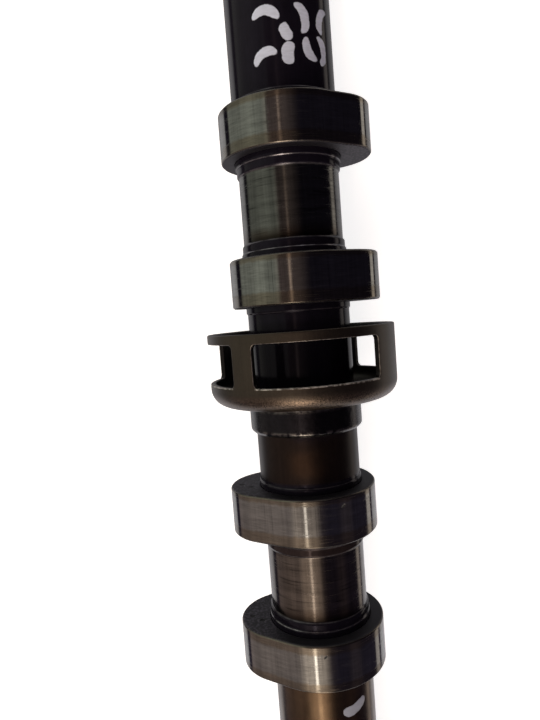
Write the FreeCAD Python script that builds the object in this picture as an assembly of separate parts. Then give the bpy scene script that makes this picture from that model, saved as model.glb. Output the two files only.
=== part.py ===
import FreeCAD, Part

import math
import os

# Built-up camshaft of an in-line four-cylinder engine, in millimetres.
#
# A steel tube carries eight pressed-on cams, two for each cylinder, and a drawn
# sheet trigger wheel between cylinders 2 and 3. A turned drive end is pressed in
# the front of the tube and a turned plug closes its rear.
#
# Frame: the origin is on the shaft's axis in the drive face, +X runs along the
# shaft towards the rear and +Z is up as the shaft lies, with the heavy side of the
# trigger wheel down. Cylinders are counted from the drive end. A clock angle goes
# round the shaft from +Z towards +Y.

# Engine layout: the clock angle of the cam noses of each cylinder, a quarter turn
# apart in the order 1-2-4-3
NOSE_CLOCKS = (0.0, 90.0, 270.0, 180.0)
BORE_PITCH = 94.0
CAM_PITCH = 36.0

# Tube: its lengths run from the first cam's face to the front and from the last one's to the rear
TUBE_R = 13.0
TUBE_WALL = 3.5
TUBE_FRONT_LENGTH = 14.4
TUBE_REAR_LENGTH = 11.0
# Rolled band that carries a cam, and shows as a bead beside its faces
SEAT_RISE = 0.3
SEAT_OVERHANG = 1.75
SEAT_EDGE = 0.45
# Ground journal between the two cams of a cylinder
JOURNAL_R = 12.6
JOURNAL_LENGTH = 16.4
JOURNAL_EDGE = 0.5

# Cam: its wall is the ring between the bore and the base circle
CAM_WIDTH = 12.0
CAM_WALL = 3.35
CAM_LIFT = 4.35
CAM_NOSE_R = 11.9

# Trigger wheel, drawn from sheet: an open rim, a web and a neck on the tube
SHEET = 1.4
WHEEL_R = 23.9
WHEEL_DEPTH = 18.25
WHEEL_CORNER_R = 4.5
# Web's outer face, counted from the middle between cylinders 2 and 3
WHEEL_WEB_OFFSET = 1.25
NECK_LENGTH = 7.55
NECK_FLARE = 1.2
NECK_END_CHAMFER = 0.8
# Windows in the rim: first and last clock angle of each
WINDOWS = ((-111.3, -43.9), (-29.6, 46.8), (98.5, 135.3))
WINDOW_RIM_WIDTH = 2.35
WINDOW_LENGTH = 10.0
WINDOW_CORNER_R = 1.2

# Drive end: a free journal, a spanner hexagon with a flat at the bottom and a spigot in the tube
NOSE_JOURNAL_R = 15.0
NOSE_JOURNAL_LENGTH = 22.0
NOSE_CHAMFER = 1.0
RELIEF_WIDTH = 1.6
RELIEF_DEPTH = 0.4
HEX_ACROSS_FLATS = 34.0
HEX_WIDTH = 8.0
HEX_CHAMFER = 0.5
HEX_CHAMFER_DEG = 30.0
DRIVE_SPIGOT_LENGTH = 24.0
SPIGOT_CHAMFER = 0.8
# Tapping-size hole of the M12 x 1.5 drive bolt
DRIVE_HOLE_R = 5.25
DRIVE_HOLE_DEPTH = 30.0
DRIVE_COUNTERSINK_R = 6.5
DRILL_POINT_DEG = 118.0
# Stepped dowel that sets the drive wheel's angle
DOWEL_R = 2.0
DOWEL_SEAT_R = 2.5
DOWEL_DEPTH = 8.0
DOWEL_PROUD = 4.0
DOWEL_CHAMFER = 0.4
DOWEL_CIRCLE_R = 10.5
DOWEL_CLOCK = 0.0

# Rear plug
PLUG_HEAD = 3.0
PLUG_SPIGOT_LENGTH = 14.0
PLUG_CHAMFER = 0.8
CENTRE_HOLE_R = 3.15
CENTRE_HOLE_DEG = 60.0

# Sizes that follow
CYLINDERS = len(NOSE_CLOCKS)
BORE_R = TUBE_R - TUBE_WALL
SEAT_R = TUBE_R + SEAT_RISE
CAM_BASE_R = SEAT_R + CAM_WALL
HEX_CORNER_R = HEX_ACROSS_FLATS / 2 / math.cos(math.radians(30))
TUBE_FRONT_X = NOSE_JOURNAL_LENGTH + RELIEF_WIDTH + HEX_WIDTH
FIRST_CYLINDER_X = TUBE_FRONT_X + TUBE_FRONT_LENGTH + (CAM_PITCH + CAM_WIDTH) / 2
LAST_CYLINDER_X = FIRST_CYLINDER_X + (CYLINDERS - 1) * BORE_PITCH
TUBE_REAR_X = LAST_CYLINDER_X + (CAM_PITCH + CAM_WIDTH) / 2 + TUBE_REAR_LENGTH
WHEEL_WEB_X = (FIRST_CYLINDER_X + LAST_CYLINDER_X) / 2 + WHEEL_WEB_OFFSET

AXIS_POINT = FreeCAD.Vector(0, 0, 0)
AXIS = FreeCAD.Vector(1, 0, 0)


def cylinder_x(number):
    """Middle of a cylinder along the shaft, counting cylinders from 1."""
    return FIRST_CYLINDER_X + (number - 1) * BORE_PITCH


def at_clock(x, radius, clock):
    """Point at a radius and a clock angle in degrees."""
    turn = math.radians(clock)
    return FreeCAD.Vector(x, radius * math.sin(turn), radius * math.cos(turn))


def in_section(x, radius):
    """Point of a profile, drawn in the half-plane above the axis."""
    return FreeCAD.Vector(x, 0, radius)


def turned(points):
    """Solid turned about the shaft's axis from a closed outline of (x, radius)."""
    corners = [in_section(x, radius) for x, radius in points]
    outline = Part.makePolygon(corners + corners[:1])
    return Part.Face(outline).revolve(AXIS_POINT, AXIS, 360)


def section_arc(centre_x, centre_r, radius, start_deg, end_deg):
    """Arc of a profile, with angles counted from +X towards the outside."""
    degrees = (start_deg, (start_deg + end_deg) / 2, end_deg)
    points = []
    for degree in degrees:
        turn = math.radians(degree)
        points.append(in_section(centre_x + radius * math.cos(turn), centre_r + radius * math.sin(turn)))
    return Part.Arc(*points).toShape()


def joined(parts):
    """Closed wire through a row of arcs and points, with lines across the gaps."""
    edges = []
    ends = []
    for item in parts:
        if isinstance(item, Part.Shape):
            ends.append((item.firstVertex().Point, item.lastVertex().Point, item))
        else:
            ends.append((item, item, None))
    for index, (start, end, edge) in enumerate(ends):
        if edge is not None:
            edges.append(edge)
        following = ends[(index + 1) % len(ends)][0]
        if end.distanceToPoint(following) > 1e-6:
            edges.append(Part.LineSegment(end, following).toShape())
    return Part.Wire(edges)


def band(start, end, radius, edge):
    """Outline of a stretch of tube at another radius, with a sloped edge at each end."""
    return [(start, TUBE_R), (start + edge, radius), (end - edge, radius), (end, TUBE_R)]


def seat_band(centre):
    half = CAM_WIDTH / 2 + SEAT_OVERHANG
    return band(centre - half, centre + half, SEAT_R, SEAT_EDGE)


def journal_band(centre):
    half = JOURNAL_LENGTH / 2 + JOURNAL_EDGE
    return band(centre - half, centre + half, JOURNAL_R, JOURNAL_EDGE)


def make_tube():
    """Tube with a rolled seat for every cam and a ground journal in every cylinder's pair."""
    outline = [(TUBE_FRONT_X, BORE_R), (TUBE_FRONT_X, TUBE_R)]
    for number in range(1, CYLINDERS + 1):
        middle = cylinder_x(number)
        outline += seat_band(middle - CAM_PITCH / 2)
        outline += journal_band(middle)
        outline += seat_band(middle + CAM_PITCH / 2)
    outline += [(TUBE_REAR_X, TUBE_R), (TUBE_REAR_X, BORE_R)]
    return turned(outline)


def cam_outline():
    """Cam outline in the YZ plane with its nose at clock 0: two arcs and two flat flanks."""
    nose_centre = CAM_BASE_R + CAM_LIFT - CAM_NOSE_R
    # The flanks touch both circles, so their normals lie at one angle from the nose
    flank = math.degrees(math.acos((CAM_BASE_R - CAM_NOSE_R) / nose_centre))
    lift = FreeCAD.Vector(0, 0, nose_centre)
    nose_points = [at_clock(0, CAM_NOSE_R, clock) + lift for clock in (-flank, 0, flank)]
    base_points = [at_clock(0, CAM_BASE_R, clock) for clock in (flank, 180, -flank)]
    return joined([Part.Arc(*nose_points).toShape(), Part.Arc(*base_points).toShape()])


def slab(outline, x, width):
    """Solid of an outline in the YZ plane, from x over a width."""
    face = Part.Face(outline)
    face.translate(FreeCAD.Vector(x, 0, 0))
    return face.extrude(FreeCAD.Vector(width, 0, 0))


def make_cam():
    """Cam with its nose at clock 0, centred on x = 0, bored to sit on the tube's rolled seat."""
    body = slab(cam_outline(), -CAM_WIDTH / 2, CAM_WIDTH)
    bore = Part.makeCylinder(SEAT_R, 2 * CAM_WIDTH, FreeCAD.Vector(-CAM_WIDTH, 0, 0), AXIS)
    return body.cut(bore)


def make_wheel_cup():
    """Drawn cup of one sheet thickness: rim, rounded corner, web, flare and neck."""
    web = WHEEL_WEB_X
    rim_x = web - WHEEL_DEPTH
    neck_x = web + NECK_LENGTH
    neck_r = TUBE_R + SHEET
    corner = (web - WHEEL_CORNER_R, WHEEL_R - WHEEL_CORNER_R)
    # The flare's inner leg keeps the sheet's thickness across the 45 degree slope
    inner_flare = NECK_FLARE + SHEET * (2 - math.sqrt(2))
    outside = [
        in_section(rim_x, WHEEL_R),
        section_arc(*corner, WHEEL_CORNER_R, 90, 0),
        in_section(web, neck_r + NECK_FLARE),
        in_section(web + NECK_FLARE, neck_r),
        in_section(neck_x - NECK_END_CHAMFER, neck_r),
        in_section(neck_x, neck_r - NECK_END_CHAMFER),
        in_section(neck_x, TUBE_R),
    ]
    inside = [
        in_section(web - SHEET + inner_flare, TUBE_R),
        in_section(web - SHEET, TUBE_R + inner_flare),
        section_arc(*corner, WHEEL_CORNER_R - SHEET, 0, 90),
        in_section(rim_x, WHEEL_R - SHEET),
    ]
    return Part.Face(joined(outside + inside)).revolve(AXIS_POINT, AXIS, 360)


def window_cutter(first, last):
    """Sector through the rim's wall between two clock angles, with rounded corners."""
    start = WHEEL_WEB_X - WHEEL_DEPTH + WINDOW_RIM_WIDTH
    end = start + WINDOW_LENGTH
    inner = WHEEL_R - 2 * SHEET
    outer = WHEEL_R + SHEET
    corners = [in_section(start, inner), in_section(end, inner), in_section(end, outer), in_section(start, outer)]
    face = Part.Face(Part.makePolygon(corners + corners[:1]))
    face.rotate(AXIS_POINT, AXIS, -first)
    sector = face.revolve(AXIS_POINT, AXIS, first - last)
    radial = []
    for edge in sector.Edges:
        ends = [vertex.Point for vertex in edge.Vertexes]
        if len(ends) == 2 and abs(ends[0].distanceToPoint(ends[1]) - (outer - inner)) < 1e-6:
            if abs(ends[0].x - ends[1].x) < 1e-6:
                radial.append(edge)
    return sector.makeFillet(WINDOW_CORNER_R, radial)


def make_trigger_wheel():
    wheel = make_wheel_cup()
    for first, last in WINDOWS:
        wheel = wheel.cut(window_cutter(first, last))
    return wheel


def drilled(radius, depth, countersink_r):
    """Cutter for a drilled hole from the drive face, with a drill point and a countersink."""
    point = radius / math.tan(math.radians(DRILL_POINT_DEG / 2))
    lip = countersink_r - radius
    return turned([(-1, 0), (-1, countersink_r + 1), (lip, radius), (depth, radius), (depth + point, 0)])


def make_hexagon(start, end):
    """Spanner hexagon between two places on the axis, its corners chamfered from both faces."""
    corners = [at_clock(0, HEX_CORNER_R, 30 + 60 * side) for side in range(6)]
    prism = slab(Part.makePolygon(corners + corners[:1]), start, end - start)
    slope = 1 / math.tan(math.radians(HEX_CHAMFER_DEG))
    face_r = HEX_CORNER_R - HEX_CHAMFER * slope
    middle_r = face_r + (end - start) / 2 * slope
    cones = turned([(start, 0), (start, face_r), ((start + end) / 2, middle_r), (end, face_r), (end, 0)])
    return prism.common(cones)


def make_drive_end():
    """Piece with a free journal, relief groove, hexagon and spigot, drilled from its face."""
    relief_r = NOSE_JOURNAL_R - RELIEF_DEPTH
    hex_x = TUBE_FRONT_X - HEX_WIDTH
    spigot_x = TUBE_FRONT_X + DRIVE_SPIGOT_LENGTH
    body = turned([
        (0, 0),
        (0, NOSE_JOURNAL_R - NOSE_CHAMFER),
        (NOSE_CHAMFER, NOSE_JOURNAL_R),
        (NOSE_JOURNAL_LENGTH, NOSE_JOURNAL_R),
        (NOSE_JOURNAL_LENGTH + RELIEF_DEPTH, relief_r),
        (hex_x, relief_r),
        (hex_x, BORE_R),
        (TUBE_FRONT_X, BORE_R),
        (spigot_x - SPIGOT_CHAMFER, BORE_R),
        (spigot_x, BORE_R - SPIGOT_CHAMFER),
        (spigot_x, 0),
    ])
    body = body.fuse(make_hexagon(hex_x, TUBE_FRONT_X)).removeSplitter()
    body = body.cut(drilled(DRIVE_HOLE_R, DRIVE_HOLE_DEPTH, DRIVE_COUNTERSINK_R))
    mouth = at_clock(-DOWEL_DEPTH, DOWEL_CIRCLE_R, DOWEL_CLOCK)
    return body.cut(Part.makeCylinder(DOWEL_SEAT_R, 2 * DOWEL_DEPTH, mouth, AXIS))


def make_drive_dowel():
    """Stepped dowel: a thick pressed-in half and a thinner half proud of the drive face."""
    dowel = turned([
        (-DOWEL_PROUD, 0),
        (-DOWEL_PROUD, DOWEL_R - DOWEL_CHAMFER),
        (-DOWEL_PROUD + DOWEL_CHAMFER, DOWEL_R),
        (0, DOWEL_R),
        (0, DOWEL_SEAT_R),
        (DOWEL_DEPTH - DOWEL_CHAMFER, DOWEL_SEAT_R),
        (DOWEL_DEPTH, DOWEL_SEAT_R - DOWEL_CHAMFER),
        (DOWEL_DEPTH, 0),
    ])
    dowel.translate(at_clock(0, DOWEL_CIRCLE_R, DOWEL_CLOCK))
    return dowel


def make_end_plug():
    """Turned plug with a head as wide as the tube and a centre hole in its rear face."""
    head_x = TUBE_REAR_X + PLUG_HEAD
    tip_x = TUBE_REAR_X - PLUG_SPIGOT_LENGTH
    centre_depth = CENTRE_HOLE_R / math.tan(math.radians(CENTRE_HOLE_DEG / 2))
    return turned([
        (tip_x, 0),
        (tip_x, BORE_R - SPIGOT_CHAMFER),
        (tip_x + SPIGOT_CHAMFER, BORE_R),
        (TUBE_REAR_X, BORE_R),
        (TUBE_REAR_X, TUBE_R),
        (head_x - PLUG_CHAMFER, TUBE_R),
        (head_x, TUBE_R - PLUG_CHAMFER),
        (head_x, CENTRE_HOLE_R),
        (head_x - centre_depth, 0),
    ])


def make_parts():
    """Every piece in its place, by node name."""
    parts = {
        "shaft_tube": make_tube(),
        "drive_end": make_drive_end(),
        "drive_dowel": make_drive_dowel(),
        "end_plug": make_end_plug(),
        "trigger_wheel": make_trigger_wheel(),
    }
    cam = make_cam()
    for number in range(1, CYLINDERS + 1):
        for side, letter in ((-1, "a"), (1, "b")):
            placed = cam.copy()
            placed.rotate(AXIS_POINT, AXIS, -NOSE_CLOCKS[number - 1])
            placed.translate(FreeCAD.Vector(cylinder_x(number) + side * CAM_PITCH / 2, 0, 0))
            parts[f"cam_{number}{letter}"] = placed
    return parts


def main():
    os.makedirs("parts", exist_ok=True)
    for node, shape in make_parts().items():
        shape.exportStep(f"parts/{node}.step")


main()
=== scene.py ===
import math

import bpy
import numpy as np
from mathutils import Matrix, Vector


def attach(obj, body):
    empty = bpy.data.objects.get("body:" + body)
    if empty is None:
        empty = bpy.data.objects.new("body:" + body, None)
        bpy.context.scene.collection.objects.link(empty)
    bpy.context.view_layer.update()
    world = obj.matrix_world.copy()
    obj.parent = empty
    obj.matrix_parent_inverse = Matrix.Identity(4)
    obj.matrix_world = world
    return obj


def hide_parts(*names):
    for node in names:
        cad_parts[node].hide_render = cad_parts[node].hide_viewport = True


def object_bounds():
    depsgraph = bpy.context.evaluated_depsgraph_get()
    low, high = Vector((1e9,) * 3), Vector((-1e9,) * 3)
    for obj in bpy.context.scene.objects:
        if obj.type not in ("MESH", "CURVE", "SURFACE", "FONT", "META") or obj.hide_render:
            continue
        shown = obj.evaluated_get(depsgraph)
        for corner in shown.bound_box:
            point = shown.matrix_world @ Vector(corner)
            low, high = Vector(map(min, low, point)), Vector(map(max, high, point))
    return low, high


bl_info = {
    "name": "Camshaft looks",
    "version": (1, 0, 0),
    "blender": (4, 5, 0),
    "location": "View3D > Sidebar > Camshaft",
    "description": "Finished surfaces, studio and camera for a built-up camshaft",
    "category": "Object",
}

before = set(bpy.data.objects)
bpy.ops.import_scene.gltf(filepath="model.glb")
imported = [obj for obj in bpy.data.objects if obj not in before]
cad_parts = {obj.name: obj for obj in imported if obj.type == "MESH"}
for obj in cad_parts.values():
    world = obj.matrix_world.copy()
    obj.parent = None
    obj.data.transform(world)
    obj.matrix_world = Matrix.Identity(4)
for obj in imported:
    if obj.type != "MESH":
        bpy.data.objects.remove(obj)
CAD_BOX = [list(corner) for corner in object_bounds()]

MM = 0.001

# Stations along the shaft, from the drive face
CYLINDER_X = np.array([70.0, 164.0, 258.0, 352.0]) * MM
BORE_PITCH = 94.0 * MM
NOSE_CLOCKS = (0.0, 90.0, 270.0, 180.0)
CAM_PITCH = 36.0 * MM
TUBE_FRONT = 31.6 * MM
TUBE_REAR = 387.0 * MM
# How far each cam's worn track sits from its middle
TRACK_SHIFTS = (-0.3, 0.1, -0.28, -0.63, -0.53, 0.2, 0.0, -0.4)
# Trigger wheel: web's outer face, and the windows' clock angles with those of the tiles round them
WHEEL_WEB = 212.25 * MM
WINDOWS = ((-111.3, -43.9, -114.0, -42.0), (-29.6, 46.8, -33.0, 49.5), (98.5, 135.3, 96.0, 138.0))
WHEEL_STEP = 1.5
# Degrees in a radian, for the grain of streaks along the shaft
RADIAN = 57.3
# Millimetres round a cam's base circle for each radian
CAM_ARC = 16.7
# Edges of a cam's worn track, in mm from the track's middle
CAM_TRACK = (-3.95, 3.45)
# Punched dots on a cam's front side: radius in mm, and degrees from the nose
CAM_DOTS = ((18.1, 2.5), (15.6, 12.0))
# Nicks in the tracks of the third cylinder's cams: station in mm, clock angle and half length in mm
CAM_NICKS = ((236.4, 24.5, 0.62), (272.7, 0.5, 0.42))
# Brush dabs on the tube: station and place round it in mm, length, thickness, angle from a ring round
# the shaft in degrees, and bend
DABS = (
    (121.4, -2.8, 6.6, 2.3, 8.0, -0.14), (126.6, 1.4, 4.2, 2.5, 64.0, 0.06),
    (130.6, -4.2, 6.0, 2.3, -24.0, -0.12), (131.2, 1.6, 5.0, 2.9, 96.0, 0.05),
    (123.2, 6.2, 6.6, 2.3, 78.0, -0.10), (122.6, 10.8, 6.4, 2.1, 112.0, 0.10),
    (130.6, 6.6, 5.6, 2.3, 60.0, 0.12), (129.8, 11.4, 6.4, 2.2, 84.0, -0.10),
    (290.0, 7.2, 7.0, 2.5, -12.0, 0.05), (295.0, 3.8, 3.6, 2.0, 70.0, 0.0),
)
THREAD_PITCH = 1.5 * MM

# Camera: its place in metres, and the directions of the picture's right, down and depth
CAMERA_PLACE = (0.190275, -0.004012, 0.146193)
CAMERA_RIGHT = (0.07669724, 0.99679094, -0.02292057)
CAMERA_DOWN = (0.99403937, -0.07465869, 0.07944694)
CAMERA_FORWARD = (0.07748077, -0.02887731, -0.99657555)


def length(name, description, default):
    """Property for a length in metres."""
    return bpy.props.FloatProperty(name=name, description=description, default=default, unit="LENGTH",
                                   precision=5)


def colour(name, description, default):
    """Property for a linear colour."""
    return bpy.props.FloatVectorProperty(name=name, description=description, default=default,
                                         subtype="COLOR", size=3, min=0.0, max=1.0)


class CamshaftSizes(bpy.types.PropertyGroup):
    """Sizes of the shaft's pieces."""

    tube_r: length("Tube radius", "Outside of the tube", 13.0 * MM)
    bore_r: length("Bore radius", "Inside of the tube", 9.5 * MM)
    seat_r: length("Seat radius", "Rolled band that carries a cam", 13.3 * MM)
    seat_over: length("Seat overhang", "How far the band shows beside a cam", 1.75 * MM)
    seat_edge: length("Seat edge", "Slope at each end of the band", 0.45 * MM)
    journal_r: length("Journal radius", "Ground bearing surface", 12.6 * MM)
    journal_length: length("Journal length", "Ground length between two cams", 16.4 * MM)
    journal_edge: length("Journal edge", "Slope at each end of a journal", 0.5 * MM)
    cam_width: length("Cam width", "Along the shaft", 12.0 * MM)
    cam_base_r: length("Base circle", "Radius of a cam's base circle", 16.65 * MM)
    cam_lift: length("Lift", "Height of a nose over the base circle", 4.35 * MM)
    cam_nose_r: length("Nose radius", "Radius of a cam's nose", 11.9 * MM)
    cam_chamfer: length("Cam chamfer", "Chamfer of a cam's edges", 0.4 * MM)
    wheel_r: length("Wheel radius", "Outside of the trigger wheel's rim", 23.9 * MM)
    wheel_depth: length("Wheel depth", "From the rim's edge to the web", 18.25 * MM)
    sheet: length("Sheet", "Thickness of the trigger wheel", 1.4 * MM)
    corner_r: length("Corner radius", "Drawn corner between rim and web", 4.5 * MM)
    neck_length: length("Neck length", "Neck on the tube", 7.55 * MM)
    bend_r: length("Bend radius", "Bend between web and neck", 1.2 * MM)
    window_rim: length("Window rim", "Sheet left beside the windows at the open edge", 2.35 * MM)
    window_length: length("Window length", "Along the shaft", 10.0 * MM)
    window_corner_r: length("Window corner", "Radius of a window's corners", 1.2 * MM)
    edge: length("Edge break", "Rounding of trimmed and ground edges", 0.25 * MM)
    nose_r: length("Front journal radius", "Journal of the drive end", 15.0 * MM)
    nose_length: length("Front journal length", "From the drive face", 22.0 * MM)
    hex_flat: length("Hexagon", "From the axis to a flat of the spanner hexagon", 17.0 * MM)
    hex_width: length("Hexagon width", "Along the shaft", 8.0 * MM)
    hole_r: length("Drive hole radius", "Hole for the drive bolt", 5.25 * MM)
    hole_depth: length("Drive hole depth", "To the start of the drill's tip", 30.0 * MM)
    spigot_length: length("Spigot length", "Drive end's spigot in the tube", 24.0 * MM)
    dowel_r: length("Dowel radius", "Dowel in the drive face", 2.0 * MM)
    dowel_offset: length("Dowel offset", "From the shaft's axis", 10.5 * MM)
    dowel_proud: length("Dowel height", "How far the dowel stands out", 4.0 * MM)
    plug_head: length("Plug head", "Thickness of the rear plug's head", 3.0 * MM)
    plug_spigot: length("Plug spigot", "Length in the tube", 14.0 * MM)
    centre_r: length("Centre hole", "Radius of the hole in the plug's face", 3.15 * MM)


class CamshaftFinish(bpy.types.PropertyGroup):
    """Colours of the finishes."""

    track: colour("Cam track", "Worn track of a cam", (0.125, 0.125, 0.120))
    ground: colour("Ground edge", "Ground steel beside the track", (0.100, 0.088, 0.072))
    side: colour("Cam side", "Unground sides of a cam", (0.015, 0.014, 0.018))
    pit: colour("Pits", "Punched dots and nicks of the cams", (0.004, 0.004, 0.004))
    journal: colour("Journal", "Ground bearing surface", (0.074, 0.074, 0.070))
    journal_warm: colour("Warm journal", "Bearing surface towards the rear end", (0.084, 0.072, 0.062))
    # Partly rubbed steel, partly painted highlight lines on the crests of beads and journal edges
    rubbed: colour("Rubbed edge", "Bright edges of beads and journals", (0.14, 0.135, 0.145))
    journal_end: colour("Journal end", "Stained end of a journal", (0.028, 0.021, 0.016))
    black: colour("Oiled tube", "Tube where oil has burnt on black", (0.0080, 0.0066, 0.0115))
    brown: colour("Brown tube", "Tube where oil has burnt on brown", (0.0145, 0.0098, 0.0078))
    patch: colour("Warm patch", "Middle of the brown tube behind the wheel", (0.028, 0.016, 0.010))
    gold: colour("Golden tube", "Tube with a thin golden film", (0.075, 0.051, 0.031))
    sheet: colour("Wheel sheet", "Satin sheet of the trigger wheel", (0.041, 0.033, 0.026))
    corner: colour("Wheel corner", "Grainy drawn corner of the wheel", (0.090, 0.066, 0.048))
    neck: colour("Wheel neck", "Oily neck of the wheel", (0.010, 0.009, 0.011))
    # Painted glints in the neck's bend and on its end
    oil: colour("Standing oil", "Oil in the neck's bend and on its end", (0.085, 0.080, 0.075))
    # Painted shade for the inside of the rim and the windows' cut faces
    painted_shade: colour("Wheel inside", "Inside of the rim and the windows' cut faces", (0.010, 0.009, 0.010))
    # Bright burrs of the windows' lips: partly real, partly painted highlight
    burr_and_highlight: colour("Burr", "Torn and rubbed lips of the windows", (0.40, 0.37, 0.34))
    turned: colour("Turned steel", "Drive end and rear plug", (0.190, 0.182, 0.165))
    thread: colour("Thread", "Threaded wall of the drive hole", (0.035, 0.032, 0.030))
    dowel: colour("Dowel", "Ground dowel", (0.30, 0.30, 0.29))
    paint: colour("Paint", "Brushed marks on the tube", (0.55, 0.60, 0.73))


class CamshaftStudio(bpy.types.PropertyGroup):
    """Camera, floor and light."""

    lens: bpy.props.FloatProperty(name="Lens", description="Focal length on a 36 mm frame", default=28.228,
                                  subtype="DISTANCE_CAMERA")
    floor: colour("Floor", "Plain floor and backdrop", (0.80, 0.80, 0.80))
    level: bpy.props.FloatProperty(name="Light level", description="Strength of the soft room light",
                                   default=1.0, min=0.0, max=4.0)


def rounded(corners, radii, steps=6, closed=True):
    """Profile through corners, with an arc in place of each.

    An arc of radius r in a corner between unit normals a and b has its centre at the corner less
    (a + b) r / (1 + a.b), on the inner side of an outside corner. Its points are the centre plus r
    times a normal that turns evenly from a to b. The profile runs with its outside on the left.
    Gives points and outward normals, and keeps both ends of an open profile.
    """
    corners = np.asarray(corners, float)
    before = corners - np.roll(corners, 1, axis=0)
    after = np.roll(corners, -1, axis=0) - corners
    first = np.stack([-before[:, 1], before[:, 0]], axis=1)
    second = np.stack([-after[:, 1], after[:, 0]], axis=1)
    first /= np.linalg.norm(first, axis=1, keepdims=True)
    second /= np.linalg.norm(second, axis=1, keepdims=True)
    dot = np.sum(first * second, axis=1)
    cross = first[:, 0] * second[:, 1] - first[:, 1] * second[:, 0]
    side = np.where(cross < 0, 1.0, -1.0)
    radii = np.broadcast_to(np.asarray(radii, float), dot.shape)
    centre = corners - (first + second) * (side * radii / (1 + dot))[:, None]
    start = np.arctan2(first[:, 1], first[:, 0])
    angle = start[:, None] + np.arctan2(cross, dot)[:, None] * np.linspace(0, 1, steps)[None]
    normals = np.stack([np.cos(angle), np.sin(angle)], axis=-1)
    points = centre[:, None] + normals * (side * radii)[:, None, None]
    if closed:
        return points.reshape(-1, 2), normals.reshape(-1, 2)
    points = np.vstack([corners[:1], points[1:-1].reshape(-1, 2), corners[-1:]])
    normals = np.vstack([second[:1], normals[1:-1].reshape(-1, 2), first[-1:]])
    return points, normals


def swept(profile, normals, clocks):
    """Profile of (x, radius) turned to each clock angle: (x, r sin a, r cos a), in degrees."""
    turn = np.radians(clocks)[None, :]
    x, radius = profile[:, :1], profile[:, 1:]
    along, out = normals[:, :1], normals[:, 1:]
    flat = np.ones_like(turn)
    points = np.stack([x * flat, radius * np.sin(turn), radius * np.cos(turn)], axis=-1)
    return points, np.stack([along * flat, out * np.sin(turn), out * np.cos(turn)], axis=-1)


class Skin:
    """Gathers grids of points with their normals and welds them into one closed mesh."""

    def __init__(self):
        self.points = []
        self.normals = []
        self.quads = []
        self.count = 0

    def add(self, points, normals, wrap_rows=False, wrap_columns=False):
        """Adds a grid; a wrapped side joins its last line to its first. Faces turn to their normals."""
        rows, columns = points.shape[:2]
        index = np.arange(rows * columns).reshape(rows, columns) + self.count
        if wrap_rows:
            index = np.vstack([index, index[:1]])
        if wrap_columns:
            index = np.hstack([index, index[:, :1]])
        quads = np.stack([index[:-1, :-1], index[1:, :-1], index[1:, 1:], index[:-1, 1:]], axis=-1)
        quads = quads.reshape(-1, 4)
        self.points.append(points.reshape(-1, 3))
        self.normals.append(normals.reshape(-1, 3))
        place = points.reshape(-1, 3)[quads - self.count]
        across = np.cross(place[:, 2] - place[:, 0], place[:, 3] - place[:, 1])
        facing = np.sum(across * normals.reshape(-1, 3)[quads - self.count].sum(axis=1), axis=1)
        quads[facing < 0] = quads[facing < 0][:, ::-1]
        self.quads.append(quads)
        self.count += rows * columns

    def build(self, name, material, nodes, station=None):
        """Welds equal points, turns quads that close at a pole into triangles, and makes the object."""
        points = np.vstack(self.points)
        normals = np.vstack(self.normals)
        keys = np.round(points / (0.0005 * MM)).astype(np.int64)
        _, first, place = np.unique(keys, axis=0, return_index=True, return_inverse=True)
        quads = place.reshape(-1)[np.vstack(self.quads)]
        same = quads == np.roll(quads, -1, axis=1)
        whole = quads[same.sum(axis=1) == 0]
        pinched = quads[same.sum(axis=1) == 1]
        triangles = pinched[~same[same.sum(axis=1) == 1]].reshape(-1, 3)
        corners = np.concatenate([whole.reshape(-1), triangles.reshape(-1)]).astype(np.int32)
        starts = np.concatenate([np.arange(len(whole)) * 4, len(whole) * 4 + np.arange(len(triangles)) * 3])
        mesh = bpy.data.meshes.new(name)
        mesh.vertices.add(len(first))
        mesh.vertices.foreach_set("co", points[first].astype(np.float32).reshape(-1))
        mesh.loops.add(len(corners))
        mesh.loops.foreach_set("vertex_index", corners)
        mesh.polygons.add(len(starts))
        mesh.polygons.foreach_set("loop_start", starts.astype(np.int32))
        mesh.update(calc_edges=True)
        mesh.validate()
        mesh.polygons.foreach_set("use_smooth", np.ones(len(mesh.polygons), bool))
        mesh.normals_split_custom_set_from_vertices(normals[first].tolist())
        if station is not None:
            values = np.tile(np.asarray(station, np.float32), len(first))
            mesh.attributes.new("station", "FLOAT_VECTOR", "POINT").data.foreach_set("vector", values)
        mesh.materials.append(material)
        piece = bpy.data.objects.new(name, mesh)
        bpy.context.scene.collection.objects.link(piece)
        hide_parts(*nodes)
        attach(piece, "root")


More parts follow.
